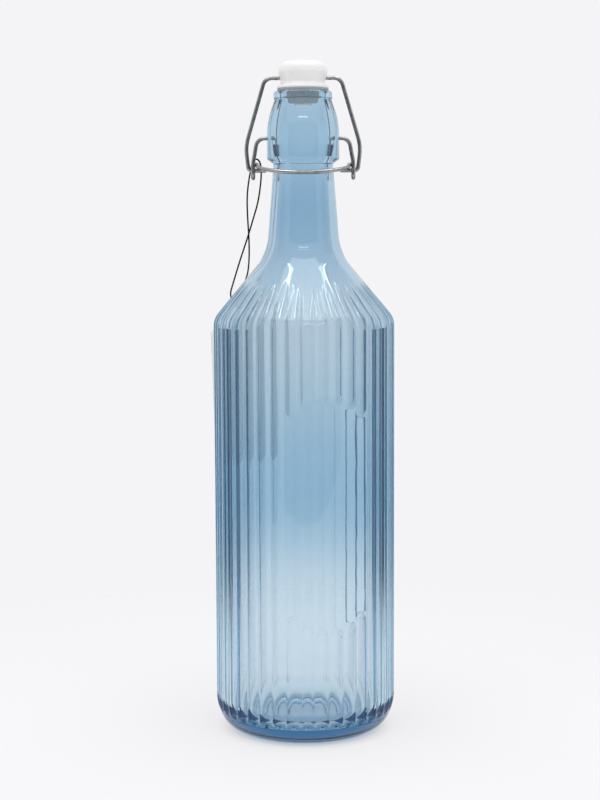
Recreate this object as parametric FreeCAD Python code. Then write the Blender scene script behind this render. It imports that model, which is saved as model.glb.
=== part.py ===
"""Swing top bottle: a fluted one litre glass bottle with a wire bail stopper and a hang tag.

Millimetres. The origin is the centre of the base, +Z is up and -Y is the front.
"""
import FreeCAD
import Part
import math
import os

Vec = FreeCAD.Vector

# Glass body
body_diameter = 86.0
body_wall = 3.6
floor_thickness = 8.0
inner_heel_radius = 9.0
push_up_height = 3.5
push_up_share = 0.55
bearing_ring_width = 3.0
base_ring_radius = 0.8
heel_inset = 4.6
heel_height = 13.0
heel_lower_radius = 12.0
heel_upper_radius = 17.0
shoulder_height = 198.0
shoulder_angle = 39.8
shoulder_radius = 9.0
neck_root_radius = 26.0

# Glass neck and mouth
glass_height = 304.5
mouth_height = 33.8
neck_top_diameter = 28.2
neck_taper = 4.4
neck_step_radius = 0.8
bore_diameter = 22.4
bore_taper = 3.2
bore_step_radius = 20.0
bore_belly_diameter = 25.0
bore_belly_radius = 40.0
mouth_bore_diameter = 20.4
mouth_bore_depth = 5.6
mouth_flare = 0.8
mouth_flare_radius = 1.2
bulge_diameter = 34.2
bulge_step_height = 2.2
bulge_edge_radius = 1.4
bulge_waist_diameter = 26.8
bulge_waist_drop = 3.9
bulge_waist_radius = 1.0
bulge_crown_radius = 38.0
bulge_crown_share = 0.62
lip_diameter = 27.8
lip_height = 3.3
lip_edge_radius = 1.3

# Flutes
flute_count = 40
flute_depth = 0.85
flute_land = 0.9
flute_phase = -2.9
flute_end_height = 13.8
flute_heel_height = 17.5
flute_heel_angle = 8.0
flute_heel_radius = 24.0
flute_run_out = 0.3
flute_corner_radius = 3.0
flute_fade_height = 15.0
panel_flutes = 6
panel_first_flute = -1
panel_bottom = 52.0
panel_height = 113.0
panel_arch = 9.0

# Wires and their pivots
wire_diameter = 1.9
pin_clearance = 0.05
pivot_drop = 21.8
socket_depth = 2.6
pin_end_gap = 0.3
hook_drop = 15.05
hook_setback = 2.1
lever_width = 47.4
lever_shoulder_width = 43.2
lever_shoulder_radius = 4.2
lever_arm_rise = 3.4
lever_arm_radius = 12.0
eye_gap = 2.4
eye_depth = 1.45
eye_roundness = 0.98
eye_top_radius = 1.6
crossing_clearance = 0.85
crossing_rise = 0.3
bow_inset = 2.1
bow_root_radius = 2.0
bow_clearance = 0.75
bow_drop_angle = 14.5
bow_side_length = 9.0
bow_front_width = 19.0
bow_front_radius = 26.0
bow_corner_radius = 9.0
yoke_top_width = 35.6
yoke_top_radius = 4.2
yoke_knee_width = 54.3
yoke_knee_rise = 11.5
yoke_knee_setback = 1.6
yoke_knee_radius = 21.0
yoke_foot_width = 51.7
yoke_hook_radius = 1.9
hook_end_width = 35.2

# Stopper and gasket
stopper_height = 13.0
stopper_rim_diameter = 23.2
stopper_rim_drop = 5.4
stopper_rim_radius = 1.6
stopper_rim_draft = 0.6
stopper_crown_rise = 0.5
stopper_crown_radius = 4.2
stopper_waist_diameter = 20.5
stopper_waist_height = 2.6
stopper_waist_radius = 1.6
stopper_flange_diameter = 24.6
stopper_flange_height = 1.0
stopper_flange_radius = 0.45
stopper_wire_height = 5.0
stem_diameter = 7.0
stem_button_diameter = 8.4
stem_button_height = 1.4
stem_button_radius = 0.6
gasket_flange = 0.9
gasket_flange_diameter = 24.2
gasket_edge_radius = 0.3
gasket_nose_length = 7.4
gasket_nose_top_diameter = 15.8
gasket_nose_end_diameter = 13.8
gasket_nose_radius = 0.8
seal_gap = 0.35

# Hang tag and its cord
tag_width = 39.0
tag_length = 80.0
tag_thickness = 0.6
tag_clip = 13.0
tag_clip_height = 15.0
tag_hole_diameter = 4.0
tag_hole_drop = 5.0
tag_top = 206.0
tag_azimuth = 42.0
tag_tilt = 2.6
tag_gap = 0.35
cord_diameter = 0.8
knot_diameter = 2.6
knot_length = 3.2
knot_barrel_share = 0.5
knot_edge_radius = 0.6
cord_lead = 1.6
cord_round_share = 0.45

# Route of the cord, from the knot up one strand, over the lever's eye and down the other to the tag's hole
cord_route = [
    (-30.6, 26.4, 210.8),
    (-28.1, 23.0, 215.8),
    (-26.8, 20.8, 221.4),
    (-26.3, 18.0, 230.0),
    (-26.5, 15.2, 238.2),
    (-26.9, 12.2, 246.4),
    (-27.0, 9.2, 255.6),
    (-26.1, 7.2, 262.8),
    (-25.1, 6.4, 267.6),
    (-24.4, 5.6, 271.2),
    (-23.1, 4.2, 273.2),
    (-21.5, 3.0, 273.2),
    (-20.3, 3.2, 271.4),
    (-19.9, 4.0, 268.2),
    (-20.1, 4.4, 262.8),
    (-21.5, 6.0, 253.2),
    (-24.2, 8.2, 244.6),
    (-26.4, 10.2, 237.6),
    (-28.6, 12.6, 231.4),
    (-31.8, 16.2, 222.2),
    (-34.6, 20.2, 213.4),
    (-36.2, 25.4, 208.8),
    (-35.3, 28.9, 204.9),
    (-33.6, 30.3, 201.7),
    (-32.44, 29.21, 200.7),
    (-31.3, 28.2, 201.6),
    (-30.8, 27.8, 204.6),
    (-30.6, 26.4, 210.8),
]

# Sizes worked out from the ones above
body_radius = body_diameter / 2
wire_radius = wire_diameter / 2
pivot_height = glass_height - pivot_drop
hook_height = pivot_height - hook_drop
neck_top_height = glass_height - mouth_height
stopper_base = glass_height + seal_gap + gasket_flange
stopper_wire_z = stopper_base + stopper_wire_height
flute_pitch = 360.0 / flute_count


def corner_arc(before, corner, after, radius):
    """Tangent arc that rounds one corner, with its two tangent points."""
    back = (before - corner).normalize()
    ahead = (after - corner).normalize()
    half = back.getAngle(ahead) / 2
    reach = radius / math.tan(half)
    start = corner + back * reach
    end = corner + ahead * reach
    bisector = (back + ahead).normalize()
    middle = corner + bisector * (radius / math.sin(half) - radius)
    return start, middle, end


def rounded_edges(points, radii):
    """Straight edges through the points, with each inner corner rounded to its radius."""
    edges = []
    here = points[0]
    for i in range(1, len(points) - 1):
        if radii[i] <= 0:
            start = points[i]
            end = start
        else:
            start, middle, end = corner_arc(points[i - 1], points[i], points[i + 1], radii[i])
        if (start - here).Length > 1e-6:
            edges.append(Part.LineSegment(here, start).toShape())
        if radii[i] > 0:
            edges.append(Part.Arc(start, middle, end).toShape())
        here = end
    edges.append(Part.LineSegment(here, points[-1]).toShape())
    return edges


def revolved(corners):
    """Solid of revolution from (radius, height, corner radius) rows that start and end on the Z axis."""
    points = [Vec(r, 0, z) for r, z, _ in corners]
    radii = [rounding for _, _, rounding in corners]
    edges = rounded_edges(points, radii)
    edges.append(Part.LineSegment(points[-1], points[0]).toShape())
    face = Part.Face(Part.Wire(edges))
    return face.revolve(Vec(0, 0, 0), Vec(0, 0, 1), 360)


def swept_wire(points, radii, diameter):
    """Round wire along straight runs joined by tangent arcs."""
    edges = rounded_edges(points, radii)
    path = Part.Wire(edges)
    heading = (points[1] - points[0]).normalize()
    ring = Part.Wire([Part.Circle(points[0], heading, diameter / 2).toShape()])
    return path.makePipeShell([ring], True, False), path.Length


def shoulder_corner_height(inset):
    """Height of the shoulder's corner on a surface that lies inset inside the outer one."""
    return shoulder_height - inset * math.tan(math.radians(shoulder_angle / 2))


def neck_root(neck_radius, neck_height, taper, inset):
    """Corner where a tapered neck line meets the shoulder cone that lies inset inside the outer one."""
    slope = math.tan(math.radians(shoulder_angle))
    flare = math.tan(math.radians(taper))
    cone_radius = body_radius - inset
    cone_height = shoulder_corner_height(inset)
    height = (cone_radius + cone_height * slope - neck_radius - neck_height * flare) / (slope - flare)
    return neck_radius + (neck_height - height) * flare, height


def outer_glass():
    """Outside of the bottle as a full solid of revolution."""
    base_radius = body_radius - heel_inset
    lower_turn = math.atan2(heel_height, heel_inset)
    ring_radius = base_radius - heel_lower_radius * math.tan(lower_turn / 2)
    hollow_radius = ring_radius - bearing_ring_width
    root_radius, root_height = neck_root(neck_top_diameter / 2, neck_top_height, neck_taper, 0)
    bulge_base = neck_top_height + bulge_step_height
    waist_height = glass_height - bulge_waist_drop
    bead_base = glass_height - lip_height
    bulge_knee = bulge_base + (waist_height - bulge_base) * bulge_crown_share
    return revolved([
        (0, push_up_height, 0),
        (hollow_radius * push_up_share, push_up_height, hollow_radius),
        (hollow_radius, 0, base_ring_radius),
        (base_radius, 0, heel_lower_radius),
        (body_radius, heel_height, heel_upper_radius),
        (body_radius, shoulder_height, shoulder_radius),
        (root_radius, root_height, neck_root_radius),
        (neck_top_diameter / 2, neck_top_height, neck_step_radius),
        (bulge_diameter / 2, bulge_base, bulge_edge_radius),
        (bulge_diameter / 2, bulge_knee, bulge_crown_radius),
        (bulge_waist_diameter / 2, waist_height, bulge_waist_radius),
        (lip_diameter / 2, bead_base, lip_edge_radius),
        (lip_diameter / 2, glass_height, lip_edge_radius),
        (0, glass_height, 0),
    ])


def inner_glass():
    """Hollow of the bottle, open at the mouth."""
    inner_radius = body_radius - body_wall
    bore_radius = bore_diameter / 2
    mouth_radius = mouth_bore_diameter / 2
    root_radius, root_height = neck_root(bore_radius, neck_top_height, bore_taper, body_wall)
    above = glass_height + mouth_flare
    return revolved([
        (0, floor_thickness, 0),
        (inner_radius, floor_thickness, inner_heel_radius),
        (inner_radius, shoulder_corner_height(body_wall), shoulder_radius),
        (root_radius, root_height, neck_root_radius),
        (bore_radius, neck_top_height, bore_step_radius),
        (bore_belly_diameter / 2, pivot_height, bore_belly_radius),
        (mouth_radius, glass_height - mouth_bore_depth, bore_step_radius),
        (mouth_radius, glass_height - mouth_flare, mouth_flare_radius),
        (mouth_radius + mouth_flare, glass_height, 0),
        (mouth_radius + mouth_flare, above, 0),
        (0, above, 0),
    ])


def flute_radius():
    """Radius of the round cutter that leaves the named depth and land."""
    chord = 2 * body_radius * math.sin(math.radians(flute_pitch / 2)) - flute_land
    return (chord * chord / 4 + flute_depth * flute_depth) / (2 * flute_depth)


def flute_cutter(low, high, heel):
    """Round cutter for one flute in the front plane, with a run-out at its lower end.

    It runs out again at its upper end, or goes on up the shoulder where high is None. With heel, its lower
    end leans in along the curve of the heel.
    """
    radius = flute_radius()
    offset = body_radius - flute_depth + radius
    run_out = radius + flute_run_out
    away = offset + 2 * run_out
    if heel:
        lean_in = (flute_heel_height - low + run_out) * math.tan(math.radians(flute_heel_angle))
        points = [Vec(0, lean_in - away, low - run_out), Vec(0, lean_in - offset, low - run_out)]
        points.append(Vec(0, -offset, flute_heel_height))
        radii = [0, run_out, flute_heel_radius]
    else:
        points = [Vec(0, -away, low - run_out), Vec(0, -offset, low - run_out)]
        radii = [0, run_out]
    if high is None:
        top = shoulder_height + (radius - flute_depth) * math.tan(math.radians(shoulder_angle / 2))
        slant = flute_fade_height / math.cos(math.radians(shoulder_angle))
        lean = math.radians(shoulder_angle) - math.atan2(flute_depth, slant)
        corner = Vec(0, -offset, top)
        points += [corner, corner + Vec(0, math.sin(lean), math.cos(lean)) * (slant + radius)]
        radii += [radius + flute_corner_radius, 0]
    else:
        points += [Vec(0, -offset, high + run_out), Vec(0, -away, high + run_out)]
        radii += [run_out, 0]
    cutter, _ = swept_wire(points, radii, 2 * radius)
    return cutter


def flute_cutters():
    """All flute cutters, with the plain panel left out of the flutes that cross it."""
    cutters = []
    full = flute_cutter(flute_end_height, None, True)
    for i in range(flute_count):
        angle = flute_phase + flute_pitch * (i + 0.5)
        place = i + 1 if i + 1 < flute_count else 0
        spot = place - (panel_first_flute + 1)
        if 0 <= spot < panel_flutes:
            off_centre = (spot - (panel_flutes - 1) / 2) / (panel_flutes / 2)
            arch = panel_arch * off_centre * off_centre
            pieces = [
                flute_cutter(flute_end_height, panel_bottom + arch, True),
                flute_cutter(panel_bottom + panel_height - arch, None, False),
            ]
        else:
            pieces = [full.copy()]
        for piece in pieces:
            piece.rotate(Vec(0, 0, 0), Vec(0, 0, 1), angle)
            cutters.append(piece)
    return cutters


def pivot_sockets():
    """Two blind holes in the mouth's bulge that take the ends of the lever."""
    radius = wire_radius + pin_clearance
    reach = bulge_diameter / 2
    sockets = []
    for side in (-1, 1):
        start = Vec(side * (reach - socket_depth), 0, pivot_height)
        sockets.append(Part.makeCylinder(radius, socket_depth + wire_diameter, start, Vec(side, 0, 0)))
    return sockets


def glass_bottle():
    glass = outer_glass().cut(inner_glass())
    return glass.cut(flute_cutters() + pivot_sockets())


def stopper():
    """Moulded cap with a cross hole for the yoke and a buttoned stem that holds the gasket."""
    top = stopper_base + stopper_height
    rim = stopper_rim_diameter / 2
    waist_height = stopper_base + stopper_waist_height
    stem_end = glass_height + seal_gap - gasket_nose_length
    cap = revolved([
        (0, stem_end - stem_button_height, 0),
        (stem_button_diameter / 2, stem_end - stem_button_height, stem_button_radius),
        (stem_button_diameter / 2, stem_end, 0),
        (stem_diameter / 2, stem_end, 0),
        (stem_diameter / 2, stopper_base, 0),
        (stopper_flange_diameter / 2, stopper_base, stopper_flange_radius),
        (stopper_flange_diameter / 2, stopper_base + stopper_flange_height, stopper_flange_radius),
        (stopper_waist_diameter / 2, waist_height, stopper_waist_radius),
        (rim, top - stopper_rim_drop, stopper_rim_radius),
        (rim - stopper_rim_draft, top - stopper_crown_rise, stopper_crown_radius),
        (0, top, 0),
    ])
    hole = wire_radius + pin_clearance
    bore = Part.makeCylinder(hole, stopper_flange_diameter, Vec(-stopper_flange_diameter / 2, 0, stopper_wire_z),
                             Vec(1, 0, 0))
    return cap.cut(bore)


def gasket():
    """Soft seal with a thin flange on the lip and a tapered nose in the mouth."""
    under = glass_height + seal_gap
    end = under - gasket_nose_length
    body = revolved([
        (0, end, 0),
        (gasket_nose_end_diameter / 2, end, gasket_nose_radius),
        (gasket_nose_top_diameter / 2, under, gasket_nose_radius),
        (gasket_flange_diameter / 2, under, gasket_edge_radius),
        (gasket_flange_diameter / 2, stopper_base, 0),
        (0, stopper_base, 0),
    ])
    hole = Part.makeCylinder(stem_diameter / 2, gasket_nose_length + gasket_flange, Vec(0, 0, end))
    return body.cut(hole)


def mirrored_route(half):
    """Symmetric wire route from its right half, which ends next to the middle plane."""
    left = [(Vec(-p.x, p.y, p.z), radius) for p, radius in reversed(half)]
    return left + half


def stopper_yoke():
    """Wire that hangs on the stopper's cross hole and hooks into the lever's eyes."""
    foot = yoke_foot_width / 2
    knee = Vec(yoke_knee_width / 2, yoke_knee_setback, hook_height + yoke_knee_rise)
    half = [
        (Vec(yoke_top_width / 2, 0, stopper_wire_z), yoke_top_radius),
        (knee, yoke_knee_radius),
        (Vec(foot, hook_setback, hook_height), yoke_hook_radius),
        (Vec(hook_end_width / 2, hook_setback, hook_height), 0),
    ]
    route = mirrored_route(half)
    wire, _ = swept_wire([p for p, _ in route], [radius for _, radius in route], wire_diameter)
    return wire


def lever_bail():
    """Lever wire: pivot ends, arms, an eye at each side for the yoke's hooks, and the front bow."""
    side = lever_width / 2
    eye_offset = eye_gap / 2 + wire_radius
    front = hook_setback - eye_offset
    rear = hook_setback + eye_offset
    eye_bottom = hook_height - eye_depth - eye_offset
    crossing = hook_height + wire_diameter + crossing_clearance
    inside = side - bow_inset
    slope = math.tan(math.radians(bow_drop_angle))
    pin_end = bulge_diameter / 2 - socket_depth + pin_end_gap
    bow_front = -(neck_top_diameter / 2 + wire_radius + bow_clearance)
    bow_side = bow_front + bow_side_length
    half = [
        (Vec(bow_front_width / 2, bow_front, crossing + bow_front * slope), bow_front_radius),
        (Vec(inside, bow_side, crossing + bow_side * slope), bow_corner_radius),
        (Vec(inside, 0, crossing), bow_root_radius),
        (Vec(side, rear, crossing + crossing_rise), eye_top_radius),
        (Vec(side, rear, eye_bottom), eye_offset * eye_roundness),
        (Vec(side, front, eye_bottom), eye_offset * eye_roundness),
        (Vec(side, front, hook_height + lever_arm_rise), lever_arm_radius),
        (Vec(lever_shoulder_width / 2, 0, pivot_height), lever_shoulder_radius),
        (Vec(pin_end, 0, pivot_height), 0),
    ]
    route = mirrored_route(half)
    wire, _ = swept_wire([p for p, _ in route], [radius for _, radius in route], wire_diameter)
    return wire


def hang_tag():
    """Plain card with clipped top corners and a punched hole, lying against the glass."""
    half = tag_width / 2
    low = tag_top - tag_length
    outline = [
        (-half, low), (half, low), (half, tag_top - tag_clip_height), (half - tag_clip, tag_top),
        (-half + tag_clip, tag_top), (-half, tag_top - tag_clip_height), (-half, low),
    ]
    near = body_radius + tag_gap
    card = Part.Face(Part.makePolygon([Vec(near, y, z) for y, z in outline])).extrude(Vec(tag_thickness, 0, 0))
    hole = Part.makeCylinder(tag_hole_diameter / 2, tag_thickness * 3,
                             Vec(near - tag_thickness, 0, tag_top - tag_hole_drop), Vec(1, 0, 0))
    card = card.cut(hole)
    card.rotate(Vec(0, 0, tag_top - tag_hole_drop), Vec(1, 0, 0), -tag_tilt)
    card.rotate(Vec(0, 0, 0), Vec(0, 0, 1), 180 - tag_azimuth)
    return card


def cord_radii(points):
    """Largest tangent arc at each point of the cord's route."""
    radii = [0.0]
    for i in range(1, len(points) - 1):
        back = points[i - 1] - points[i]
        ahead = points[i + 1] - points[i]
        turn = math.pi - back.getAngle(ahead)
        radii.append(cord_round_share * min(back.Length, ahead.Length) / math.tan(turn / 2))
    radii.append(0.0)
    return radii


def knot_axis():
    """Centre and direction of the knot, in line with the cord's two ends."""
    points = [Vec(*p) for p in cord_route]
    direction = ((points[1] - points[0]).normalize() - (points[-2] - points[-1]).normalize()).normalize()
    return points[0], direction


def tag_cord():
    """Limp cord looped over the lever and through the tag's hole, tied at the knot."""
    points = [Vec(*p) for p in cord_route]
    centre, along = knot_axis()
    end = along * (knot_length / 2)
    lead = along * (knot_length / 2 + cord_lead)
    points = [centre + end, centre + lead] + points[1:-1] + [centre - lead, centre - end]
    radii = cord_radii(points)
    cord, length = swept_wire(points, radii, cord_diameter)
    ideal = math.pi * cord_diameter * cord_diameter / 4 * length
    print("cord length %.1f mm, volume ratio %.4f" % (length, cord.Volume / ideal))
    return cord


def cord_knot():
    """Small barrel knot that joins the ends of the cord."""
    end = cord_diameter / 2
    half = knot_length / 2
    barrel = half * knot_barrel_share
    knot = revolved([
        (0, -half, 0), (end, -half, 0), (knot_diameter / 2, -barrel, knot_edge_radius),
        (knot_diameter / 2, barrel, knot_edge_radius), (end, half, 0), (0, half, 0),
    ])
    centre, along = knot_axis()
    knot.Placement = FreeCAD.Placement(centre, FreeCAD.Rotation(Vec(0, 0, 1), along))
    return knot


pieces = {
    "glass_bottle": glass_bottle,
    "stopper": stopper,
    "gasket": gasket,
    "stopper_yoke": stopper_yoke,
    "lever_bail": lever_bail,
    "tag_cord": tag_cord,
    "cord_knot": cord_knot,
    "hang_tag": hang_tag,
}

os.makedirs("parts", exist_ok=True)
for name, make in pieces.items():
    shape = make()
    shape.exportStep("parts/%s.step" % name)
    box = shape.BoundBox
    print("%s valid=%s solids=%d volume=%.1f z %.2f..%.2f x %.2f..%.2f y %.2f..%.2f" % (
        name, shape.isValid(), len(shape.Solids), shape.Volume,
        box.ZMin, box.ZMax, box.XMin, box.XMax, box.YMin, box.YMax))
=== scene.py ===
import math

import bpy
import numpy as np
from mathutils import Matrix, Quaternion, Vector


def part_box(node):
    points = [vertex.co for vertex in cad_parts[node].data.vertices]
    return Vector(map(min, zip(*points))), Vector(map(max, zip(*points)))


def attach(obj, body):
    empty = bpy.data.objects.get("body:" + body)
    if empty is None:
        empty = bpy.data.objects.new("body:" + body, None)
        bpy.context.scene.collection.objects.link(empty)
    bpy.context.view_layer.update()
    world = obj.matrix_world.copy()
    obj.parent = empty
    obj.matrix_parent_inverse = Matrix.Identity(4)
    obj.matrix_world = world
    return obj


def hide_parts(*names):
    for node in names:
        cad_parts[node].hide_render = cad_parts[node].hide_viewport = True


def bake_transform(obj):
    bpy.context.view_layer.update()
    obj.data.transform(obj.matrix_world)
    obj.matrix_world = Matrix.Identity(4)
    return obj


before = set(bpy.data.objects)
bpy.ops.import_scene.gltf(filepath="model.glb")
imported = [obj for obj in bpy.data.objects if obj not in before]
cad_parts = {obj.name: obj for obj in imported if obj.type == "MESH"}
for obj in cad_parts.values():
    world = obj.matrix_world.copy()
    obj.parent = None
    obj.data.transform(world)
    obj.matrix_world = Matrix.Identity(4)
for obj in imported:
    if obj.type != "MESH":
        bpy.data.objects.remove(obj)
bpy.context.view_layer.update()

# One millimetre in metres
MM = 0.001

# Sizes of the glass in millimetres, as in the CAD model
BODY_RADIUS = 43.0
BODY_WALL = 3.6
FLOOR_THICKNESS = 8.0
INNER_HEEL_RADIUS = 9.0
PUSH_UP_HEIGHT = 3.5
PUSH_UP_SHARE = 0.55
BEARING_RING_WIDTH = 3.0
BASE_RING_RADIUS = 0.8
HEEL_INSET = 4.6
HEEL_HEIGHT = 13.0
HEEL_LOWER_RADIUS = 12.0
HEEL_UPPER_RADIUS = 17.0
SHOULDER_HEIGHT = 198.0
SHOULDER_ANGLE = math.radians(39.8)
SHOULDER_RADIUS = 9.0
NECK_ROOT_RADIUS = 26.0
GLASS_HEIGHT = 304.5
MOUTH_HEIGHT = 33.8
NECK_TOP_HEIGHT = GLASS_HEIGHT - MOUTH_HEIGHT
NECK_TOP_RADIUS = 14.1
NECK_TAPER = math.radians(4.4)
NECK_STEP_RADIUS = 0.8
BORE_RADIUS = 11.2
BORE_TAPER = math.radians(3.2)
BORE_STEP_RADIUS = 20.0
BORE_BELLY_RADIUS = 12.5
BORE_BELLY_ROUNDING = 40.0
MOUTH_BORE_RADIUS = 10.2
MOUTH_BORE_DEPTH = 5.6
MOUTH_FLARE = 0.8
MOUTH_FLARE_RADIUS = 1.2
BULGE_RADIUS = 17.1
BULGE_STEP_HEIGHT = 2.2
BULGE_EDGE_RADIUS = 1.4
BULGE_WAIST_RADIUS = 13.4
BULGE_WAIST_DROP = 3.9
BULGE_WAIST_ROUNDING = 1.0
BULGE_CROWN_RADIUS = 38.0
BULGE_CROWN_SHARE = 0.62
LIP_RADIUS = 13.9
LIP_HEIGHT = 3.3
LIP_EDGE_RADIUS = 1.3
FLUTE_COUNT = 40
FLUTE_PITCH = 2 * math.pi / FLUTE_COUNT
FLUTE_DEPTH = 0.85
FLUTE_LAND = 0.9
FLUTE_PHASE = math.radians(-2.9)
FLUTE_END_HEIGHT = 13.8
FLUTE_HEEL_HEIGHT = 17.5
FLUTE_HEEL_ANGLE = math.radians(8.0)
FLUTE_RUN_OUT = 0.3
PANEL_FLUTES = 6
PANEL_FIRST_FLUTE = -1
PANEL_BOTTOM = 52.0
PANEL_HEIGHT = 113.0
PANEL_ARCH = 9.0
SOCKET_RADIUS = 1.0
SOCKET_DEPTH = 2.6
PIVOT_DROP = 21.8
PIVOT_HEIGHT = GLASS_HEIGHT - PIVOT_DROP

# Fine forms of the glass in millimetres that the CAD model leaves out or has plainer
RIDGE_ROUNDING = 0.05
SOCKET_EDGE = 0.15
FLUTE_FADE_HEIGHT = 18.0
FLUTE_FADE_LIMIT = 3.0
FLUTED_FROM = 2.0
FLUTED_PAST_SHOULDER = 25.0
KNURL_COUNT = 120
KNURL_DEPTH = 0.3
KNURL_RADIUS = 30.5
KNURL_REACH = 2.4
KNURL_TOP = 2.5

# Fineness of the glass mesh, in millimetres: rows are closer together in the named zones
COLUMNS_PER_FLUTE = 16
COLUMN_CROWDING = 0.6
ARC_STEP = math.radians(5.0)
COARSE_STEP = 5.0
FINE_STEP = 0.9
SOCKET_STEP = 0.22
LONGEST_LAST_STEP = 1.5
SOCKET_ZONE = 2.0
HEEL_ZONE = 22.0
PANEL_END_ZONE = 20.0
SHOULDER_ZONE_BELOW = 6.0
SHOULDER_ZONE_ABOVE = 22.0

# Guards against roots of negative numbers, division by zero and rounding
RUN_OUT_LIMIT = 0.95
SECTION_LIMIT = 0.99
SAME_POINT = 1e-6
TINY = 1e-9

# Route of the cord in millimetres, from the knot up, over the lever's eye and down through the tag's hole
CORD_ROUTE = [
    (-30.6, 26.4, 210.8),
    (-28.1, 23.0, 215.8),
    (-26.8, 20.8, 221.4),
    (-26.3, 18.0, 230.0),
    (-26.5, 15.2, 238.2),
    (-26.9, 12.2, 246.4),
    (-27.0, 9.2, 255.6),
    (-26.1, 7.2, 262.8),
    (-25.1, 6.4, 267.6),
    (-24.4, 5.6, 271.2),
    (-23.1, 4.2, 273.2),
    (-21.5, 3.0, 273.2),
    (-20.3, 3.2, 271.4),
    (-19.9, 4.0, 268.2),
    (-20.1, 4.4, 262.8),
    (-21.5, 6.0, 253.2),
    (-24.2, 8.2, 244.6),
    (-26.4, 10.2, 237.6),
    (-28.6, 12.6, 231.4),
    (-31.8, 16.2, 222.2),
    (-34.6, 20.2, 213.4),
    (-36.2, 25.4, 208.8),
    (-35.3, 28.9, 204.9),
    (-33.6, 30.3, 201.7),
    (-32.44, 29.21, 200.7),
    (-31.3, 28.2, 201.6),
    (-30.8, 27.8, 204.6),
    (-30.6, 26.4, 210.8),
]
CORD_DIAMETER = 0.8
CORD_SIDES = 10
CORD_LAY = 2.6
CORD_GROOVE = 0.12
CORD_STEPS = 40
KNOT_TURNS = 3
KNOT_STEPS = 24
KNOT_RADIUS = 0.85

# Colour of the glass: at its surfaces by height in metres, pale blue with painted light and shade that make
# it lighter near the base, shoulder and mouth and darker at the belly and neck, and in its depth with the
# density per metre
GLASS_TINTS_AND_PAINTED_SHADES = [
    (0.06, (0.90, 0.935, 0.96)),
    (0.11, (0.62, 0.765, 0.86)),
    (0.20, (0.80, 0.855, 0.895)),
    (0.25, (0.58, 0.725, 0.83)),
    (0.29, (0.74, 0.835, 0.905)),
]
TINT_WANDER = 0.006
GLASS_DEPTH_COLOUR = (0.36, 0.66, 0.80, 1.0)
GLASS_DENSITY = 70.0
GLASS_IOR = 1.51

# Where the blend between two shades starts and ends on a 0 to 1 value, and how much the card lets through
RAMP_START = 0.3
RAMP_END = 0.7
CARD_TRANSLUCENCY = 0.3

# Camera in millimetres: a pinhole at the fitted place, for a picture of this height in pixels
PHOTO_HEIGHT = 800
CAMERA_DISTANCE = 807.0
CAMERA_HEIGHT = 237.5
CAMERA_PITCH = math.radians(5.58)
CAMERA_FOCAL_PIXELS = 1693.0
CAMERA_YAW_PIXELS = 4.2
CAMERA_ROLL = math.radians(-0.256)
CAMERA_NEAREST = 10.0
SENSOR = 36.0

# Floor, in metres: solid near the bottle, fading into the backdrop further out, with a painted blue shadow
# and a painted glow below the glass
FLOOR_RINGS = [0.15, 0.3, 0.6, 1.2, 2.4, 4.0]
FLOOR_SIDES = 64
FLOOR_SOLID = 0.12
FLOOR_GONE = 0.45
FLOOR_COLOUR = (0.80, 0.80, 0.805)
# Painted shadow and painted glow below the glass, fading out between the two distances
FLOOR_SHADE = (0.16, 0.25, 0.32)
FLOOR_GLOW = (0.06, 0.13, 0.20)
SHADE_FULL = 0.024
SHADE_GONE = 0.044

# Colours of the studio
BACKDROP = (0.905, 0.905, 0.925, 1.0)
WHITE = (1.0, 1.0, 1.0, 1.0)
BLACK = (0.0, 0.0, 0.0)
FLAG = (0.004, 0.05, 0.11)
DIM = (0.22, 0.22, 0.22)
GLOSS = (0.05, 0.06, 0.07)

# Places and sizes of the light and the cards, in metres
OVERHEAD_PLACE = (0, -0.1, 1.2)
OVERHEAD_TARGET = (0, 0, 0)
OVERHEAD_SIZE = (1.0, 1.0)
OVERHEAD_WATTS = 5.0
STRIP_LEFT_PLACE = (-0.16, -0.08, 0.80)
STRIP_RIGHT_PLACE = (0.24, -0.03, 0.80)
STRIP_TARGET = (0, 0, 0.22)
STRIP_SIZE = (0.026, 0.30)
STRIP_GLOW = 18.0
BAR_PLACE = (0, -0.70, 0.67)
BAR_TARGET = (0, 0, 0.2)
BAR_SIZE = (0.40, 0.03)
BAR_GLOW = 7.0
FLAG_ASIDE = 0.6
GLOSS_ASIDE = 0.61
FLAG_TARGET = (0, 0.41, -0.01)
FLAG_SIZE = (0.62, 0.48)
FRONT_PLACE = (0, -1.2, 0.35)
FRONT_TARGET = (0, 0, 0.3)
FRONT_SIZE = (2.6, 0.9)

# Light bounces that the thick glass needs
MOST_BOUNCES = 32
GLOSSY_BOUNCES = 16


def new_mesh(name, vertices, faces, smooth=True):
    """Mesh object in metres, in the shared frame."""
    mesh = bpy.data.meshes.new(name)
    mesh.from_pydata(vertices, [], faces)
    mesh.update()
    if smooth:
        mesh.polygons.foreach_set("use_smooth", [True] * len(mesh.polygons))
    piece = bpy.data.objects.new(name, mesh)
    bpy.context.scene.collection.objects.link(piece)
    return piece


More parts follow.
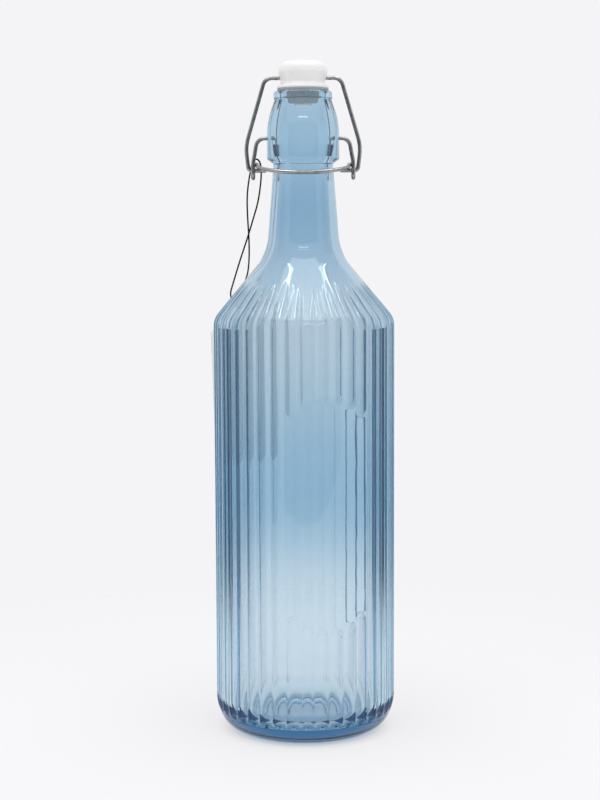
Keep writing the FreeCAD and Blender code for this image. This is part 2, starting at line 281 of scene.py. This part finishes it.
def rounded_outline(corners):
    """Points along an outline of (radius, height, corner radius) rows, with its corners as arcs."""
    points = [np.array(corners[0][:2], float)]
    for before, corner, after in zip(corners, corners[1:], corners[2:]):
        here = np.array(corner[:2], float)
        if corner[2] <= 0:
            points.append(here)
            continue
        back = np.array(before[:2], float) - here
        ahead = np.array(after[:2], float) - here
        back /= np.linalg.norm(back)
        ahead /= np.linalg.norm(ahead)
        half = math.acos(np.clip(back @ ahead, -1, 1)) / 2
        bisector = (back + ahead) / np.linalg.norm(back + ahead)
        centre = here + bisector * corner[2] / math.sin(half)
        start = here + back * corner[2] / math.tan(half) - centre
        turn = math.pi - 2 * half
        way = math.copysign(1, back[0] * ahead[1] - back[1] * ahead[0])
        steps = max(2, math.ceil(turn / ARC_STEP))
        for i in range(steps + 1):
            angle = -way * turn * i / steps
            points.append(centre + np.array([
                start[0] * math.cos(angle) - start[1] * math.sin(angle),
                start[0] * math.sin(angle) + start[1] * math.cos(angle)]))
    points.append(np.array(corners[-1][:2], float))
    return points


def neck_root(neck_radius, taper, inset):
    """Corner where a tapered neck line meets the shoulder cone that lies inset inside the outer one."""
    slope = math.tan(SHOULDER_ANGLE)
    flare = math.tan(taper)
    cone_radius = BODY_RADIUS - inset
    cone_height = SHOULDER_HEIGHT - inset * math.tan(SHOULDER_ANGLE / 2)
    height = (cone_radius + cone_height * slope - neck_radius - NECK_TOP_HEIGHT * flare) / (slope - flare)
    return neck_radius + (NECK_TOP_HEIGHT - height) * flare, height


def outer_outline():
    """Outside of the glass, from the middle of the base to the lip."""
    base_radius = BODY_RADIUS - HEEL_INSET
    lower_turn = math.atan2(HEEL_HEIGHT, HEEL_INSET)
    ring_radius = base_radius - HEEL_LOWER_RADIUS * math.tan(lower_turn / 2)
    hollow_radius = ring_radius - BEARING_RING_WIDTH
    bulge_base = NECK_TOP_HEIGHT + BULGE_STEP_HEIGHT
    waist_height = GLASS_HEIGHT - BULGE_WAIST_DROP
    bulge_knee = bulge_base + (waist_height - bulge_base) * BULGE_CROWN_SHARE
    return rounded_outline([
        (0, PUSH_UP_HEIGHT, 0),
        (hollow_radius * PUSH_UP_SHARE, PUSH_UP_HEIGHT, hollow_radius),
        (hollow_radius, 0, BASE_RING_RADIUS),
        (base_radius, 0, HEEL_LOWER_RADIUS),
        (BODY_RADIUS, HEEL_HEIGHT, HEEL_UPPER_RADIUS),
        (BODY_RADIUS, SHOULDER_HEIGHT, SHOULDER_RADIUS),
        (*neck_root(NECK_TOP_RADIUS, NECK_TAPER, 0), NECK_ROOT_RADIUS),
        (NECK_TOP_RADIUS, NECK_TOP_HEIGHT, NECK_STEP_RADIUS),
        (BULGE_RADIUS, bulge_base, BULGE_EDGE_RADIUS),
        (BULGE_RADIUS, bulge_knee, BULGE_CROWN_RADIUS),
        (BULGE_WAIST_RADIUS, waist_height, BULGE_WAIST_ROUNDING),
        (LIP_RADIUS, GLASS_HEIGHT - LIP_HEIGHT, LIP_EDGE_RADIUS),
        (LIP_RADIUS, GLASS_HEIGHT, LIP_EDGE_RADIUS),
        (MOUTH_BORE_RADIUS + MOUTH_FLARE, GLASS_HEIGHT, 0),
    ])


def inner_outline():
    """Inside of the glass, from the lip down to the middle of the floor."""
    inner_radius = BODY_RADIUS - BODY_WALL
    inner_corner = SHOULDER_HEIGHT - BODY_WALL * math.tan(SHOULDER_ANGLE / 2)
    return rounded_outline([
        (MOUTH_BORE_RADIUS + MOUTH_FLARE, GLASS_HEIGHT, 0),
        (MOUTH_BORE_RADIUS, GLASS_HEIGHT - MOUTH_FLARE, MOUTH_FLARE_RADIUS),
        (MOUTH_BORE_RADIUS, GLASS_HEIGHT - MOUTH_BORE_DEPTH, BORE_STEP_RADIUS),
        (BORE_BELLY_RADIUS, PIVOT_HEIGHT, BORE_BELLY_ROUNDING),
        (BORE_RADIUS, NECK_TOP_HEIGHT, BORE_STEP_RADIUS),
        (*neck_root(BORE_RADIUS, BORE_TAPER, BODY_WALL), NECK_ROOT_RADIUS),
        (inner_radius, inner_corner, SHOULDER_RADIUS),
        (inner_radius, FLOOR_THICKNESS, INNER_HEEL_RADIUS),
        (0, FLOOR_THICKNESS, 0),
    ])


def outer_step(height):
    """Spacing of rows outside: fine where the flutes end, at the shoulder and round the pivot sockets."""
    if abs(height - PIVOT_HEIGHT) < SOCKET_ZONE:
        return SOCKET_STEP
    at_heel = height < HEEL_ZONE
    at_panel_bottom = abs(height - PANEL_BOTTOM) < PANEL_END_ZONE
    at_panel_top = abs(height - (PANEL_BOTTOM + PANEL_HEIGHT)) < PANEL_END_ZONE
    at_shoulder = -SHOULDER_ZONE_BELOW < height - SHOULDER_HEIGHT < SHOULDER_ZONE_ABOVE
    if at_heel or at_panel_bottom or at_panel_top or at_shoulder:
        return FINE_STEP
    return COARSE_STEP


def inner_step(height):
    """Spacing of rows inside, the same at every height."""
    return COARSE_STEP


def refined(points, step_at):
    """Outline with its long runs cut to the wanted row spacing."""
    rows = [points[0]]
    for start, end in zip(points, points[1:]):
        length = np.linalg.norm(end - start)
        if length < SAME_POINT:
            continue
        done = 0.0
        while True:
            here = start + (end - start) * done / length
            step = step_at(here[1])
            if done + LONGEST_LAST_STEP * step >= length:
                break
            done += step
            rows.append(start + (end - start) * done / length)
        rows.append(end)
    return np.array(rows)


def column_angles():
    """Angles of the mesh columns, closer together at the ridges between flutes."""
    share = np.arange(COLUMNS_PER_FLUTE) / COLUMNS_PER_FLUTE
    share = share - COLUMN_CROWDING * np.sin(2 * math.pi * share) / (2 * math.pi)
    return np.concatenate([FLUTE_PHASE + FLUTE_PITCH * (i + share) for i in range(FLUTE_COUNT)])


def flute_radius():
    """Radius of the round flute section that leaves the named depth and land."""
    chord = 2 * BODY_RADIUS * math.sin(math.pi / FLUTE_COUNT) - FLUTE_LAND
    return (chord * chord / 4 + FLUTE_DEPTH ** 2) / (2 * FLUTE_DEPTH)


def run_out(distance, section_radius):
    """How much shallower a flute is at a distance past its end."""
    reach = 2 * section_radius + FLUTE_RUN_OUT
    past = np.clip(distance, 0, reach * RUN_OUT_LIMIT)
    return reach - np.sqrt(reach * reach - past * past)


def panel_run_out(index, height, section_radius):
    """How much shallower the flutes are inside the smooth panel with its arched ends."""
    spot = (index - PANEL_FIRST_FLUTE) % FLUTE_COUNT
    off_centre = (spot - (PANEL_FLUTES - 1) / 2) / (PANEL_FLUTES / 2)
    arch = PANEL_ARCH * off_centre ** 2
    above_bottom = height - (PANEL_BOTTOM + arch)
    below_top = (PANEL_BOTTOM + PANEL_HEIGHT - arch) - height
    plain = run_out(np.minimum(above_bottom, below_top), section_radius)
    return np.where(spot < PANEL_FLUTES, plain, 0)


def flute_depths(rows, angles):
    """Depth of the flutes below the ridges on the whole outer grid."""
    section_radius = flute_radius()
    index = np.floor((angles - FLUTE_PHASE) / FLUTE_PITCH + TINY).astype(int)
    off_middle = angles - FLUTE_PHASE - FLUTE_PITCH * (index + 0.5)
    radius = rows[:, :1]
    height = rows[:, 1:]
    aside = np.clip(np.abs(radius * off_middle), 0, section_radius * SECTION_LIMIT)
    across = section_radius - np.sqrt(section_radius ** 2 - aside ** 2)
    lean_in = np.clip(FLUTE_HEEL_HEIGHT - height, 0, None) * math.tan(FLUTE_HEEL_ANGLE)
    fade = np.clip((height - SHOULDER_HEIGHT) / FLUTE_FADE_HEIGHT, 0, FLUTE_FADE_LIMIT)
    along = run_out(FLUTE_END_HEIGHT - height, section_radius)
    along = along + np.where(height < SHOULDER_HEIGHT / 2, BODY_RADIUS - radius - lean_in, 0)
    along = along + FLUTE_DEPTH * fade ** 2
    along = along + panel_run_out(index, height, section_radius)
    depth = FLUTE_DEPTH - across - along
    return (depth + np.sqrt(depth * depth + RIDGE_ROUNDING ** 2)) / 2


def outline_normals(rows):
    """Outward normals of an outline that runs up the outside."""
    along = np.gradient(rows, axis=0)
    normals = np.stack([along[:, 1], -along[:, 0]], axis=1)
    return normals / np.maximum(np.linalg.norm(normals, axis=1, keepdims=True), TINY)


def ring_grid(radius, height, angles):
    """Vertices of a grid of rings, angle 0 at the front and positive towards +X."""
    x = radius * np.sin(angles)
    y = -radius * np.cos(angles)
    z = np.broadcast_to(height, x.shape)
    return np.stack([x, y, z], axis=-1)


def eased(share):
    """Smooth step from 0 to 1."""
    return share * share * (3 - 2 * share)


def press_sockets(grid):
    """Presses the two pivot sockets into the sides of the bulge."""
    off_pivot = np.hypot(grid[..., 1], grid[..., 2] - PIVOT_HEIGHT)
    pit = np.clip((SOCKET_RADIUS + SOCKET_EDGE - off_pivot) / (2 * SOCKET_EDGE), 0, 1)
    pit = eased(pit) * (np.abs(grid[..., 0]) > NECK_TOP_RADIUS)
    grid[..., 0] -= np.sign(grid[..., 0]) * pit * SOCKET_DEPTH


def outer_grid(angles):
    """Outside of the glass with its flutes, the knurl under the base and the pivot sockets."""
    outer = refined(outer_outline(), outer_step)
    normals = outline_normals(outer)
    depth = flute_depths(outer, angles)
    fluted = (outer[:, 1:] > FLUTED_FROM) & (outer[:, 1:] < SHOULDER_HEIGHT + FLUTED_PAST_SHOULDER)
    depth = np.where(fluted, depth - depth.min(), 0)
    radius = outer[:, :1] - depth * normals[:, :1]
    height = outer[:, 1:] - depth * normals[:, 1:]
    knurled = np.clip(1 - np.abs(outer[:, :1] - KNURL_RADIUS) / KNURL_REACH, 0, 1)
    knurled = knurled * (outer[:, 1:] < KNURL_TOP)
    height = height + knurled * KNURL_DEPTH * (1 + np.cos(KNURL_COUNT * angles)) / 2
    grid = ring_grid(radius, height, angles)
    press_sockets(grid)
    return grid


def glass_faces(ring_count, count):
    """Faces between rings of count vertices, closed by the two middle points that follow the rings."""
    under_pole = ring_count * count
    floor_pole = under_pole + 1
    last = (ring_count - 1) * count
    faces = []
    for row in range(ring_count - 1):
        a = row * count
        b = a + count
        faces += [(a + i, a + (i + 1) % count, b + (i + 1) % count, b + i) for i in range(count)]
    faces += [(under_pole, (i + 1) % count, i) for i in range(count)]
    faces += [(floor_pole, last + i, last + (i + 1) % count) for i in range(count)]
    return faces


def glass_mesh():
    """Hollow fluted bottle as one closed mesh."""
    angles = column_angles()
    outside = outer_grid(angles)
    inner = refined(inner_outline(), inner_step)
    inside = ring_grid(inner[:, :1], inner[:, 1:], angles)
    rings = np.concatenate([outside[1:], inside[1:-1]])
    middles = [[0, 0, PUSH_UP_HEIGHT], [0, 0, FLOOR_THICKNESS]]
    vertices = np.concatenate([rings.reshape(-1, 3), middles]) * MM
    return new_mesh("bottle_glass", vertices.tolist(), glass_faces(len(rings), len(angles)))


def make_bottle():
    """Glass bottle in place of its solid, left out of diffuse bounce light."""
    bottle = glass_mesh()
    set_material(bottle, glass_material())
    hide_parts("glass_bottle")
    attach(bottle, "bottle")
    bottle.visible_diffuse = False


def material(name):
    """New node material with its Principled shader and output."""
    made = bpy.data.materials.new(name)
    made.use_nodes = True
    nodes = made.node_tree.nodes
    return made, nodes["Principled BSDF"], nodes["Material Output"]


def set_material(piece, made):
    """Gives a piece one material."""
    piece.data.materials.clear()
    piece.data.materials.append(made)


def set_values(shader, **values):
    """Sets a node's sockets by name."""
    for key, value in values.items():
        shader.inputs[key.replace("_", " ")].default_value = value


def node(made, kind, **values):
    """New shader node with its sockets set by name."""
    fresh = made.node_tree.nodes.new("ShaderNode" + kind)
    set_values(fresh, **values)
    return fresh


def link(made, start, end):
    """Links two sockets of a material."""
    made.node_tree.links.new(start, end)


def noise(made, scale, detail=2.0, stretch=(1.0, 1.0, 1.0)):
    """Noise over the object's own coordinates."""
    place = node(made, "TexCoord")
    mapping = node(made, "Mapping", Scale=stretch)
    grain = node(made, "TexNoise", Scale=scale, Detail=detail)
    link(made, place.outputs["Object"], mapping.inputs["Vector"])
    link(made, mapping.outputs["Vector"], grain.inputs["Vector"])
    return grain.outputs["Fac"]


def up(made):
    """Height in the object's own coordinates."""
    place = node(made, "TexCoord")
    split = node(made, "SeparateXYZ")
    link(made, place.outputs["Object"], split.inputs["Vector"])
    return split.outputs["Z"]


def bump(made, shader, height, strength, distance):
    """Surface relief from a height."""
    relief = node(made, "Bump", Strength=strength, Distance=distance)
    link(made, height, relief.inputs["Height"])
    link(made, relief.outputs["Normal"], shader.inputs["Normal"])


def ranged(made, value, low, high):
    """Value between low and high that follows a 0 to 1 value."""
    spread = node(made, "MapRange", To_Min=low, To_Max=high)
    link(made, value, spread.inputs["Value"])
    return spread.outputs["Result"]


def shades(made, value, low, high):
    """Colour between two shades that follows a 0 to 1 value."""
    ramp = node(made, "ValToRGB")
    ramp.color_ramp.elements[0].position = RAMP_START
    ramp.color_ramp.elements[1].position = RAMP_END
    ramp.color_ramp.elements[0].color = (*low, 1.0)
    ramp.color_ramp.elements[1].color = (*high, 1.0)
    link(made, value, ramp.inputs["Fac"])
    return ramp.outputs["Color"]


def glass_tint_and_painted_shade(made):
    """Pale blue tint of the glass with painted light and shade by its height, with a little wander."""
    wander = node(made, "Math")
    wander.operation = "ADD"
    link(made, up(made), wander.inputs[0])
    link(made, ranged(made, noise(made, scale=30.0), -TINT_WANDER, TINT_WANDER), wander.inputs[1])
    share = node(made, "MapRange", From_Max=GLASS_HEIGHT * MM)
    link(made, wander.outputs["Value"], share.inputs["Value"])
    ramp = node(made, "ValToRGB")
    ramp.color_ramp.interpolation = "EASE"
    stops = ramp.color_ramp.elements
    while len(stops) < len(GLASS_TINTS_AND_PAINTED_SHADES):
        stops.new(1.0)
    for stop, (height, tint_and_shade) in zip(stops, GLASS_TINTS_AND_PAINTED_SHADES):
        stop.position = height / (GLASS_HEIGHT * MM)
        stop.color = (*tint_and_shade, 1.0)
    link(made, share.outputs["Result"], ramp.inputs["Fac"])
    return ramp.outputs["Color"]


def glass_material():
    """Pale blue glass, tinted at its surfaces with painted light and shade by height and in its depth, with
    a faint moulded waviness.
    """
    made, shader, output = material("blue_glass")
    # The surface colour carries painted light and shade by height
    link(made, glass_tint_and_painted_shade(made), shader.inputs["Base Color"])
    set_values(shader, IOR=GLASS_IOR, Transmission_Weight=1.0)
    link(made, ranged(made, noise(made, scale=220.0), low=0.0, high=0.03), shader.inputs["Roughness"])
    waves = noise(made, scale=90.0, stretch=(1.0, 1.0, 0.35))
    bump(made, shader, waves, strength=0.12, distance=0.0004)
    depth = node(made, "VolumeAbsorption", Color=GLASS_DEPTH_COLOUR, Density=GLASS_DENSITY)
    link(made, depth.outputs["Volume"], output.inputs["Volume"])
    return made


def plastic_material():
    """Glossy white moulded plastic, a little translucent."""
    made, shader, _ = material("white_plastic")
    colour = shades(made, noise(made, scale=160.0), low=(0.77, 0.77, 0.755), high=(0.82, 0.82, 0.81))
    link(made, colour, shader.inputs["Base Color"])
    link(made, ranged(made, noise(made, scale=400.0), low=0.22, high=0.36), shader.inputs["Roughness"])
    set_values(shader, Subsurface_Weight=0.35, Subsurface_Radius=(0.004, 0.004, 0.0035))
    bump(made, shader, noise(made, scale=1100.0), strength=0.08, distance=0.0001)
    return made


def rubber_material():
    """Matt grey soft seal."""
    made, shader, _ = material("grey_seal")
    colour = shades(made, noise(made, scale=700.0), low=(0.26, 0.30, 0.31), high=(0.33, 0.37, 0.38))
    link(made, colour, shader.inputs["Base Color"])
    link(made, ranged(made, noise(made, scale=500.0), low=0.5, high=0.7), shader.inputs["Roughness"])
    bump(made, shader, noise(made, scale=1800.0), strength=0.15, distance=0.0001)
    return made


def steel_material():
    """Drawn steel wire with fine marks and a few duller spots."""
    made, shader, _ = material("steel_wire")
    spots = noise(made, scale=350.0, detail=4.0)
    colour = shades(made, spots, low=(0.26, 0.26, 0.26), high=(0.42, 0.42, 0.41))
    link(made, colour, shader.inputs["Base Color"])
    set_values(shader, Metallic=1.0)
    marks = noise(made, scale=900.0, detail=4.0)
    link(made, ranged(made, marks, low=0.14, high=0.28), shader.inputs["Roughness"])
    bump(made, shader, noise(made, scale=2600.0, detail=3.0), strength=0.04, distance=0.00005)
    return made


def cord_material():
    """Black waxed thread with a fuzzy sheen."""
    made, shader, _ = material("black_cord")
    colour = shades(made, noise(made, scale=2400.0), low=(0.002, 0.002, 0.003), high=(0.008, 0.009, 0.010))
    link(made, colour, shader.inputs["Base Color"])
    link(made, ranged(made, noise(made, scale=1800.0), low=0.55, high=0.85), shader.inputs["Roughness"])
    set_values(shader, Specular_IOR_Level=0.1, Sheen_Weight=0.02)
    bump(made, shader, noise(made, scale=5200.0, detail=3.0), strength=0.4, distance=0.00008)
    return made


def card_material():
    """Uncoated white card with paper fibres, thin enough to let some light through."""
    made, shader, output = material("card")
    fibres = noise(made, scale=900.0, detail=6.0, stretch=(1.0, 1.0, 0.4))
    colour = shades(made, fibres, low=(0.86, 0.88, 0.89), high=(0.93, 0.94, 0.94))
    link(made, colour, shader.inputs["Base Color"])
    link(made, ranged(made, fibres, low=0.7, high=0.9), shader.inputs["Roughness"])
    bump(made, shader, fibres, strength=0.2, distance=0.0001)
    through = node(made, "BsdfTranslucent")
    mix = node(made, "MixShader", Fac=CARD_TRANSLUCENCY)
    link(made, colour, through.inputs["Color"])
    link(made, shader.outputs["BSDF"], mix.inputs[1])
    link(made, through.outputs["BSDF"], mix.inputs[2])
    link(made, mix.outputs["Shader"], output.inputs["Surface"])
    return made


def finish_nodes():
    """Better materials on the CAD pieces that stay as they are."""
    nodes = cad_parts
    set_material(nodes["stopper"], plastic_material())
    set_material(nodes["gasket"], rubber_material())
    steel = steel_material()
    set_material(nodes["stopper_yoke"], steel)
    set_material(nodes["lever_bail"], steel)
    set_material(nodes["hang_tag"], card_material())


def spline_points(route):
    """Points read from a smooth NURBS line with the route's points as its control points."""
    curve = bpy.data.curves.new("route", "CURVE")
    curve.dimensions = "3D"
    spline = curve.splines.new("NURBS")
    spline.points.add(len(route) - 1)
    for point, place in zip(spline.points, route):
        point.co = (*(value * MM for value in place), 1.0)
    spline.order_u = 3
    spline.use_endpoint_u = True
    spline.resolution_u = CORD_STEPS
    holder = bpy.data.objects.new("route", curve)
    mesh = bpy.data.meshes.new_from_object(holder)
    points = [vertex.co.copy() for vertex in mesh.vertices]
    bpy.data.objects.remove(holder)
    bpy.data.meshes.remove(mesh)
    bpy.data.curves.remove(curve)
    return points


def tube(name, points, section, sides):
    """Mesh tube along points, with closed ends. The section gives the radius at an angle and a length."""
    side = None
    length = 0.0
    vertices = []
    faces = []
    last = len(points) - 1
    for i, point in enumerate(points):
        along = (points[min(i + 1, last)] - points[max(i - 1, 0)]).normalized()
        if side is None:
            side = along.orthogonal().normalized()
        else:
            length += (point - points[i - 1]).length
        side = (side - along * side.dot(along)).normalized()
        other = along.cross(side)
        for k in range(sides):
            angle = 2 * math.pi * k / sides
            radius = section(angle, length)
            vertices.append(point + (side * math.cos(angle) + other * math.sin(angle)) * radius)
    for i in range(last):
        for k in range(sides):
            a = i * sides + k
            b = i * sides + (k + 1) % sides
            faces.append((a, b, b + sides, a + sides))
    faces.append(tuple(range(sides - 1, -1, -1)))
    faces.append(tuple(last * sides + k for k in range(sides)))
    return new_mesh(name, vertices, faces)


def twisted_section(angle, length):
    """Section of two strands laid round each other."""
    turn = 2 * math.pi * length / (CORD_LAY * MM)
    return CORD_DIAMETER / 2 * MM * (1 - CORD_GROOVE * (1 - abs(math.cos(angle - turn))))


def make_knot(points):
    """Barrel knot: the cord wound round its own two ends."""
    low, high = (Vector(corner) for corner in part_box("cord_knot"))
    centre = (low + high) / 2
    along = (points[1] - points[0]).normalized()
    side = along.orthogonal().normalized()
    other = along.cross(side)
    steps = KNOT_STEPS * KNOT_TURNS
    half = (KNOT_TURNS * CORD_DIAMETER / 2) * MM
    coil = []
    for i in range(steps + 1):
        turn = 2 * math.pi * KNOT_TURNS * i / steps
        place = centre + along * (half * (2 * i / steps - 1))
        coil.append(place + (side * math.cos(turn) + other * math.sin(turn)) * KNOT_RADIUS * MM)
    knot = tube("cord_barrel_knot", coil, twisted_section, CORD_SIDES)
    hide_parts("cord_knot")
    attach(knot, "bottle")
    return knot


def make_cord():
    """Twisted cord along its route, with its knot and the tag on it."""
    points = spline_points(CORD_ROUTE)
    knot = make_knot(points)
    piece = tube("cord_loop", points, twisted_section, CORD_SIDES)
    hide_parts("tag_cord")
    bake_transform(piece)
    black = cord_material()
    set_material(piece, black)
    set_material(knot, black)


def aimed(place, target):
    """Turn that points an object at a place towards a target."""
    return (Vector(target) - Vector(place)).to_track_quat("-Z", "Y").to_euler()


def add_area_light(name, place, target, size, power):
    """Rectangular light that points at a target."""
    light = bpy.data.lights.new(name, "AREA")
    light.shape = "RECTANGLE"
    light.size, light.size_y = size
    light.energy = power
    lamp = bpy.data.objects.new(name, light)
    lamp.location = place
    lamp.rotation_euler = aimed(place, target)
    bpy.context.scene.collection.objects.link(lamp)


def add_card(name, place, target, size, colour, glow=0.0):
    """Card that shows only in gloss and through glass: camera, diffuse light and shadows leave it out."""
    x = size[0] / 2
    y = size[1] / 2
    card = new_mesh(name, [(-x, -y, 0), (x, -y, 0), (x, y, 0), (-x, y, 0)], [(0, 1, 2, 3)], smooth=False)
    card.location = place
    card.rotation_euler = aimed(place, target)
    made, shader, _ = material(name)
    set_values(shader, Base_Color=(*colour, 1.0), Roughness=1.0, Specular_IOR_Level=0.0)
    set_values(shader, Emission_Color=WHITE, Emission_Strength=glow)
    set_material(card, made)
    card.visible_camera = False
    card.visible_diffuse = False
    card.visible_shadow = False
    return card


def floor_material():
    """Pale floor with a painted blue shadow and a painted glow below the glass, clear further out."""
    made, shader, output = material("floor")
    set_values(shader, Roughness=0.7, Specular_IOR_Level=0.05, Emission_Strength=1.0)
    place = node(made, "TexCoord")
    reach = node(made, "VectorMath")
    reach.operation = "LENGTH"
    shade = node(made, "MapRange", From_Min=SHADE_FULL, From_Max=SHADE_GONE)
    fade = node(made, "MapRange", From_Min=FLOOR_SOLID, From_Max=FLOOR_GONE)
    fade.interpolation_type = "SMOOTHSTEP"
    clear = node(made, "BsdfTransparent")
    mix = node(made, "MixShader")
    link(made, place.outputs["Object"], reach.inputs[0])
    link(made, reach.outputs["Value"], shade.inputs["Value"])
    link(made, reach.outputs["Value"], fade.inputs["Value"])
    # Painted blue shadow below the glass
    link(made, shades(made, shade.outputs["Result"], FLOOR_SHADE, FLOOR_COLOUR), shader.inputs["Base Color"])
    # Painted glow below the glass, standing in for the light that comes through it
    link(made, shades(made, shade.outputs["Result"], FLOOR_GLOW, BLACK), shader.inputs["Emission Color"])
    link(made, fade.outputs["Result"], mix.inputs["Fac"])
    link(made, shader.outputs["BSDF"], mix.inputs[1])
    link(made, clear.outputs["BSDF"], mix.inputs[2])
    link(made, mix.outputs["Shader"], output.inputs["Surface"])
    return made


def add_floor():
    """Round floor that fades into the backdrop's colour."""
    sides = FLOOR_SIDES
    vertices = [(0, 0, 0)]
    for ring in FLOOR_RINGS:
        for i in range(sides):
            angle = 2 * math.pi * i / sides
            vertices.append((ring * math.cos(angle), ring * math.sin(angle), 0))
    faces = [(0, 1 + i, 1 + (i + 1) % sides) for i in range(sides)]
    for k in range(len(FLOOR_RINGS) - 1):
        a = 1 + k * sides
        b = a + sides
        faces += [(a + i, b + i, b + (i + 1) % sides, a + (i + 1) % sides) for i in range(sides)]
    floor = new_mesh("floor", vertices, faces)
    set_material(floor, floor_material())


def add_world():
    """Even backdrop."""
    world = bpy.data.worlds.new("studio")
    world.use_nodes = True
    set_values(world.node_tree.nodes["Background"], Color=BACKDROP, Strength=1.0)
    bpy.context.scene.world = world


def add_camera():
    """Camera at the fitted place, turned by its yaw, pitch and roll."""
    camera = bpy.data.cameras.new("camera")
    camera.sensor_fit = "VERTICAL"
    camera.sensor_height = SENSOR
    camera.lens = CAMERA_FOCAL_PIXELS / PHOTO_HEIGHT * SENSOR
    camera.clip_start = CAMERA_NEAREST * MM
    eye = bpy.data.objects.new("camera", camera)
    eye.location = (0, -CAMERA_DISTANCE * MM, CAMERA_HEIGHT * MM)
    yaw = math.atan2(CAMERA_YAW_PIXELS, CAMERA_FOCAL_PIXELS)
    pitched = Vector((0, math.cos(CAMERA_PITCH), -math.sin(CAMERA_PITCH)))
    turned = Vector((-math.sin(yaw), pitched.y * math.cos(yaw), pitched.z))
    eye.rotation_mode = "QUATERNION"
    eye.rotation_quaternion = turned.to_track_quat("-Z", "Y") @ Quaternion((0, 0, 1), CAMERA_ROLL)
    bpy.context.scene.collection.objects.link(eye)
    bpy.context.scene.camera = eye


def add_lights():
    """Overhead light, bright strips for the gloss, and dark cards that draw the edges of the glass."""
    add_area_light("overhead", OVERHEAD_PLACE, OVERHEAD_TARGET, OVERHEAD_SIZE, OVERHEAD_WATTS)
    add_card("strip_left", STRIP_LEFT_PLACE, STRIP_TARGET, STRIP_SIZE, BLACK, STRIP_GLOW)
    add_card("strip_right", STRIP_RIGHT_PLACE, STRIP_TARGET, STRIP_SIZE, BLACK, STRIP_GLOW)
    add_card("bar_front", BAR_PLACE, BAR_TARGET, BAR_SIZE, BLACK, BAR_GLOW)
    for side, name in ((-1, "left"), (1, "right")):
        seen_through = (side * FLAG_ASIDE, *FLAG_TARGET[1:])
        flag = add_card("flag_" + name, seen_through, FLAG_TARGET, FLAG_SIZE, FLAG)
        flag.visible_glossy = False
        mirrored = (side * GLOSS_ASIDE, *FLAG_TARGET[1:])
        gloss = add_card("gloss_" + name, mirrored, FLAG_TARGET, FLAG_SIZE, GLOSS)
        gloss.visible_transmission = False
    front = add_card("flag_front", FRONT_PLACE, FRONT_TARGET, FRONT_SIZE, DIM)
    front.visible_transmission = False


def set_looks():
    """Plain view of the colours, and enough light bounces for the glass."""
    scene = bpy.context.scene
    scene.view_settings.view_transform = "Standard"
    scene.cycles.max_bounces = MOST_BOUNCES
    scene.cycles.transmission_bounces = MOST_BOUNCES
    scene.cycles.glossy_bounces = GLOSSY_BOUNCES


make_bottle()
finish_nodes()
make_cord()
add_floor()
add_world()
add_camera()
add_lights()
set_looks()
